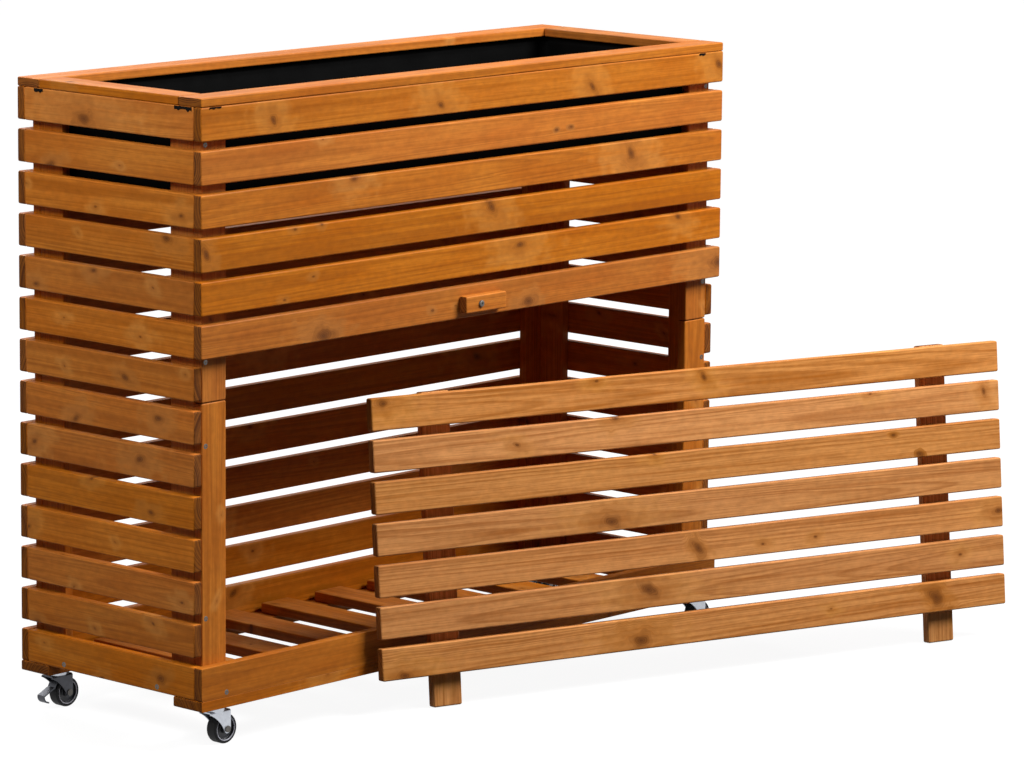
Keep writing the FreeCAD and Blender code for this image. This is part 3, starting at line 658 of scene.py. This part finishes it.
# Wood screws: zinc-plated countersunk cross-heads, driven flush through the battens and the rail.
# The turn button swings on a pan-head of the same steel.
# A head is a row of rings, each a radius and a height in mm, from the socket's floor outwards.
SOCKET_WAIST = 0.45
SOCKET_RINGS = 2
WOOD_SCREW = ((0.8, -1.3), (1.9, 0.1), (3.3, 0.22), (3.8, 0.0), (1.9, -2.4))
BUTTON_SCREW = (
    (1.0, -1.6), (2.3, -0.05), (3.4, 0.0), (4.6, -0.6), (5.0, -1.6), (5.0, -2.6), (2.5, -2.6)
)
SHANK_SHARE = 0.86
POINT_RADIUS = 0.4


def screw_steel():
    """Zinc-plated wire: grey metal, dulled by handling, a little brown in the socket from the stain."""
    material, tree, shader = surface("zinc_screw_steel")
    dull_width = 2 * MM
    place = add(tree, "ShaderNodeTexCoord").outputs["Object"]
    dull = add(
        tree, "ShaderNodeTexNoise", {"Vector": place, "Scale": 1 / dull_width, "Detail": 2.0}
    ).outputs[0]
    colour = add(
        tree, "ShaderNodeMix", {0: dull, 6: linear("#3C3832"), 7: linear("#767370")}, data_type="RGBA"
    ).outputs[2]
    tree.links.new(colour, shader.inputs["Base Color"])
    shader.inputs["Metallic"].default_value = 1.0
    gloss = add(tree, "ShaderNodeMapRange", {0: dull, 3: 0.36, 4: 0.55}).outputs[0]
    tree.links.new(gloss, shader.inputs["Roughness"])
    return material


def cross_head(head, out, rings, length):
    """One screw of rings under its head's middle, with a cross socket, a shank and a point."""
    screw = bmesh.new()
    rings = list(rings) + [(rings[-1][0], -SHANK_SHARE * length / MM), (POINT_RADIUS, -length / MM)]
    loops = []
    for index, (radius, height) in enumerate(rings):
        ring = bmesh.ops.create_circle(screw, segments=16, radius=radius * MM)["verts"]
        if index < SOCKET_RINGS:
            waist = [vert for place, vert in enumerate(ring) if place % 4]
            bmesh.ops.scale(screw, vec=(SOCKET_WAIST, SOCKET_WAIST, 1), verts=waist)
        bmesh.ops.translate(screw, vec=(0, 0, height * MM), verts=ring)
        loops.append([edge for edge in screw.edges if edge.verts[0] in ring and edge.verts[1] in ring])
    for loop, next_loop in zip(loops, loops[1:]):
        bmesh.ops.bridge_loops(screw, edges=loop + next_loop)
    bmesh.ops.triangle_fill(screw, edges=loops[0], use_beauty=True)
    bmesh.ops.triangle_fill(screw, edges=loops[-1], use_beauty=True)
    bmesh.ops.recalc_face_normals(screw, faces=screw.faces)
    place = out.to_track_quat("Z", "Y").to_matrix().to_4x4()
    place.translation = head
    bmesh.ops.transform(screw, matrix=place, verts=screw.verts)
    return finished(screw, "screw")


def driven(node, rings, out_of, body, turn=Matrix.Identity(4)):
    """Every screw of a node, its head on the end of its box that out_of picks."""
    made = []
    for low, high in solids(node, turn.inverted()):
        middle, span = (low + high) / 2, high - low
        out = out_of(middle, span)
        length = abs(span.dot(out))
        mesh = cross_head(middle + out * length / 2, out, rings, length)
        mesh.transform(turn)
        made.append(mesh)
    return shown(node + ".steel", made, plated, body, node)


def sideways(middle, span):
    """Screws of the side slats point in from their own wall, those of the rail from the front."""
    return -Y if span.y > span.x else X * math.copysign(1, middle.x)


plated = screw_steel()
driven("batten_screws", WOOD_SCREW, lambda middle, span: -Y, "planter")
driven("base_screws", WOOD_SCREW, sideways, "planter")
driven("panel_screws", WOOD_SCREW, lambda middle, span: Y, "front_panel", panel_turn)
driven("turn_button_screw", BUTTON_SCREW, lambda middle, span: -Y, "planter")

# Casters: pressed and zinc-plated steel with a riveted axle, a moulded hub and a rubber tyre.
# The rear pair has a brake strap and pedal, and their forks and brakes are drawn darker.
# The hub's half section is rows of a radius and a distance from its middle plane, in mm.
CASTERS = ("front_left", "front_right", "rear_left", "rear_right")
HUB_SECTION = (
    (3.08, 9.9), (6.0, 9.9), (6.5, 9.4), (6.5, 4.0), (7.0, 3.5), (15.6, 3.5), (16.0, 3.9),
    (16.0, 8.2), (16.5, 8.75), (17.5, 8.75), (17.9, 8.3)
)
HUB_STEPS = 64
HUB_SHARP = math.radians(35)
RING_RADIUS, RING_FACE = 16 * MM, 8.3 * MM


def plated_steel(name, shade, light, rough):
    """Pressed sheet with a thin plating: soft grey reflections, cloudy from the bath."""
    material, tree, shader = surface(name)
    cloud_width = 7 * MM
    place = add(tree, "ShaderNodeTexCoord").outputs["Object"]
    cloud = add(
        tree, "ShaderNodeTexNoise", {"Vector": place, "Scale": 1 / cloud_width, "Detail": 3.0}
    ).outputs[0]
    colour = add(
        tree, "ShaderNodeMix", {0: cloud, 6: linear(shade), 7: linear(light)}, data_type="RGBA"
    ).outputs[2]
    tree.links.new(colour, shader.inputs["Base Color"])
    shader.inputs["Metallic"].default_value = 1.0
    gloss = add(tree, "ShaderNodeMapRange", {0: cloud, 3: rough, 4: rough + 0.16}).outputs[0]
    tree.links.new(gloss, shader.inputs["Roughness"])
    dent = add(
        tree, "ShaderNodeBump", {"Height": cloud, "Strength": 0.12, "Distance": 0.2 * MM}
    ).outputs[0]
    tree.links.new(dent, shader.inputs["Normal"])
    return material


def tyre_rubber():
    """Black moulded rubber: dull, with dusty patches and a fine grain."""
    material, tree, shader = surface("black_rubber")
    dust_width, grit_width = 9 * MM, 0.8 * MM
    place = add(tree, "ShaderNodeTexCoord").outputs["Object"]
    dust = add(
        tree, "ShaderNodeTexNoise", {"Vector": place, "Scale": 1 / dust_width, "Detail": 4.0}
    ).outputs[0]
    colour = add(
        tree, "ShaderNodeMix", {0: dust, 6: linear("#060607"), 7: linear("#101012")}, data_type="RGBA"
    ).outputs[2]
    tree.links.new(colour, shader.inputs["Base Color"])
    gloss = add(tree, "ShaderNodeMapRange", {0: dust, 3: 0.5, 4: 0.68}).outputs[0]
    tree.links.new(gloss, shader.inputs["Roughness"])
    shader.inputs["Specular IOR Level"].default_value = 0.2
    grit = add(tree, "ShaderNodeTexNoise", {"Vector": place, "Scale": 1 / grit_width}).outputs[0]
    bump = add(
        tree, "ShaderNodeBump", {"Height": grit, "Strength": 0.2, "Distance": 0.05 * MM}
    ).outputs[0]
    tree.links.new(bump, shader.inputs["Normal"])
    return material


def hub_nylon():
    """Dark grey moulded nylon, drawn pale on the ring that stands proud beside the tyre."""
    material, tree, shader = surface("grey_nylon")
    cloud_width = 5 * MM
    place = add(tree, "ShaderNodeTexCoord").outputs["Object"]
    pale_ring = add(tree, "ShaderNodeAttribute", attribute_name="pale_ring").outputs["Fac"]
    cloud = add(
        tree, "ShaderNodeTexNoise", {"Vector": place, "Scale": 1 / cloud_width, "Detail": 3.0}
    ).outputs[0]
    plain = add(
        tree, "ShaderNodeMix", {0: cloud, 6: linear("#24252A"), 7: linear("#35363C")}, data_type="RGBA"
    ).outputs[2]
    # The ring that stands proud beside the tyre is drawn pale grey
    colour = add(
        tree, "ShaderNodeMix", {0: pale_ring, 6: plain, 7: linear("#B2B2BC")}, data_type="RGBA"
    ).outputs[2]
    tree.links.new(colour, shader.inputs["Base Color"])
    gloss = add(tree, "ShaderNodeMapRange", {0: cloud, 3: 0.36, 4: 0.5}).outputs[0]
    tree.links.new(gloss, shader.inputs["Roughness"])
    return material


def wheel_hub(place):
    """The hub turned from its half section about the axle, with its ring marked to be drawn pale."""
    node = f"caster_{place}_hub"
    low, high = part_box(node)
    axle = (low + high) / 2
    hub = bmesh.new()
    pale_ring = hub.faces.layers.float.new("pale_ring")
    half = [hub.verts.new(axle + Vector((0, y, radius)) * MM) for radius, y in HUB_SECTION]
    other = [hub.verts.new(axle + Vector((0, -y, radius)) * MM) for radius, y in reversed(HUB_SECTION)]
    section = half + other
    for vert, next_vert in zip(section, section[1:] + section[:1]):
        hub.edges.new((vert, next_vert))
    bmesh.ops.spin(
        hub, geom=hub.verts[:] + hub.edges[:], cent=axle, axis=Y,
        angle=2 * math.pi, steps=HUB_STEPS, use_merge=True,
    )
    bmesh.ops.recalc_face_normals(hub, faces=hub.faces)
    for face in hub.faces:
        off = face.calc_center_median() - axle
        on_ring = math.hypot(off.x, off.z) > RING_RADIUS and abs(off.y) > RING_FACE
        face[pale_ring] = 1.0 if on_ring else 0.0
        face.smooth = True
    for edge in hub.edges:
        edge.smooth = edge.calc_face_angle() < HUB_SHARP
    mesh = finished(hub, "hub")
    return shown(node + ".nylon", [mesh], nylon, f"caster_{place}_wheel", node)


bright_zinc = plated_steel("bright_zinc_steel", "#A9ADB5", "#CDD1D8", 0.3)
# The rear forks and brakes are drawn in a darker grey than the front pair's
darker_steel = plated_steel("darker_caster_steel", "#3A3B3F", "#5A5B60", 0.36)
rubber = tyre_rubber()
nylon = hub_nylon()
finish = {"axle": plated, "plate": bright_zinc}
for place in CASTERS:
    steel = darker_steel if place.startswith("rear") else bright_zinc
    wheel_hub(place)
    for piece in ("plate", "fork", "axle", "brake_lever", "brake_pin"):
        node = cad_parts.get(f"caster_{place}_{piece}")
        if node:
            node.material_slots[0].material = finish.get(piece, steel)
    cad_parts[f"caster_{place}_tyre"].material_slots[0].material = rubber
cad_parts["caster_kingpins"].material_slots[0].material = bright_zinc
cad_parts["caster_plate_screws"].material_slots[0].material = plated

# Stage: a plain pale floor under an even white surround, with soft light from above and the front.
# Only the camera and reflections see the white; what it sheds on the timber is set apart.
FLOOR_SIZE = 60.0
FLOOR_GREY_SHED, FLOOR_GREY_SEEN = 0.03, 0.12
FLOOR_GLOW_NEAR, FLOOR_GLOW_FAR = 0.93, 1.0
GLOW_NEAR, GLOW_FAR = 1.2, 3.5
SURROUND_SHED, SURROUND_SEEN = 0.025, 1.0


def white_when_seen(tree, shed, white):
    """A grey that is one value where it is seen and another where it sheds light."""
    rays = add(tree, "ShaderNodeLightPath").outputs
    looked = rays["Is Camera Ray"]
    for ray in ("Is Glossy Ray", "Is Transmission Ray"):
        looked = add(tree, "ShaderNodeMath", {0: looked, 1: rays[ray]}, operation="MAXIMUM").outputs[0]
    return add(tree, "ShaderNodeMapRange", {0: looked, 3: shed, 4: white}).outputs[0]


def pale_paper():
    """Matt studio paper that glows a little where it is seen, white further off, and keeps a shadow."""
    material, tree, shader = surface("pale_paper")
    grey = white_when_seen(tree, FLOOR_GREY_SHED, FLOOR_GREY_SEEN)
    tree.links.new(grey, shader.inputs["Base Color"])
    shader.inputs["Emission Color"].default_value = (1, 1, 1, 1)
    place = add(tree, "ShaderNodeTexCoord").outputs["Object"]
    far = add(tree, "ShaderNodeVectorMath", {0: place}, operation="LENGTH").outputs["Value"]
    glow = add(
        tree, "ShaderNodeMapRange",
        {0: far, 1: GLOW_NEAR, 2: GLOW_FAR, 3: FLOOR_GLOW_NEAR, 4: FLOOR_GLOW_FAR},
    ).outputs[0]
    tree.links.new(white_when_seen(tree, 0.0, glow), shader.inputs["Emission Strength"])
    shader.inputs["Roughness"].default_value = 1.0
    shader.inputs["Specular IOR Level"].default_value = 0.0
    return material


floor_shape = bmesh.new()
bmesh.ops.create_grid(floor_shape, size=FLOOR_SIZE / 2)
floor_mesh = finished(floor_shape, "floor")
floor_mesh.materials.append(pale_paper())
floor = bpy.data.objects.new("floor", floor_mesh)
bpy.context.scene.collection.objects.link(floor)

world = bpy.data.worlds.new("surround")
bpy.context.scene.world = world
world.use_nodes = True
surround = world.node_tree.nodes["Background"]
surround.inputs["Color"].default_value = (1, 1, 1, 1)
surround_white = white_when_seen(world.node_tree, SURROUND_SHED, SURROUND_SEEN)
world.node_tree.links.new(surround_white, surround.inputs["Strength"])


def softbox(name, place, aim, size, watts):
    """A square studio softbox that faces a point of the planter."""
    lamp = bpy.data.lights.new(name, "AREA")
    lamp.shape = "SQUARE"
    lamp.size = size
    lamp.energy = watts
    holder = bpy.data.objects.new(name, lamp)
    facing = (Vector(place) - Vector(aim)).to_track_quat("Z", "Y").to_matrix().to_4x4()
    holder.matrix_world = Matrix.Translation(place) @ facing
    bpy.context.scene.collection.objects.link(holder)


softbox("front_softbox", place=(1.25, -2.0, 3.0), aim=(0.1, -0.2, 0.55), size=1.6, watts=188)
softbox("left_softbox", place=(-2.1, -0.1, 2.2), aim=(-0.4, 0, 0.6), size=1.2, watts=43)
softbox("rear_softbox", place=(0.6, 2.4, 2.6), aim=(0, 0, 0.5), size=1.2, watts=45)

# Camera: a long lens on the photograph's line of sight, a little above the rim.
# Its place, turn and focal length were solved from the slat edges.
CAMERA_PLACE = (-5.0991, -4.9106, 1.6709)
CAMERA_YAW, CAMERA_PITCH, CAMERA_ROLL = math.radians(47.63), math.radians(9.927), math.radians(0.563)
lens = bpy.data.cameras.new("camera")
lens.lens = 170.8
lens.sensor_width = 36.0
lens.clip_end = 200.0
camera = bpy.data.objects.new("camera", lens)
camera_aim = Matrix.Rotation(-CAMERA_YAW, 4, "Z") @ Matrix.Rotation(math.pi / 2 - CAMERA_PITCH, 4, "X")
camera.matrix_world = Matrix.Translation(CAMERA_PLACE) @ camera_aim @ Matrix.Rotation(CAMERA_ROLL, 4, "Z")
bpy.context.scene.collection.objects.link(camera)
bpy.context.scene.camera = camera
bpy.context.scene.view_settings.view_transform = "Standard"
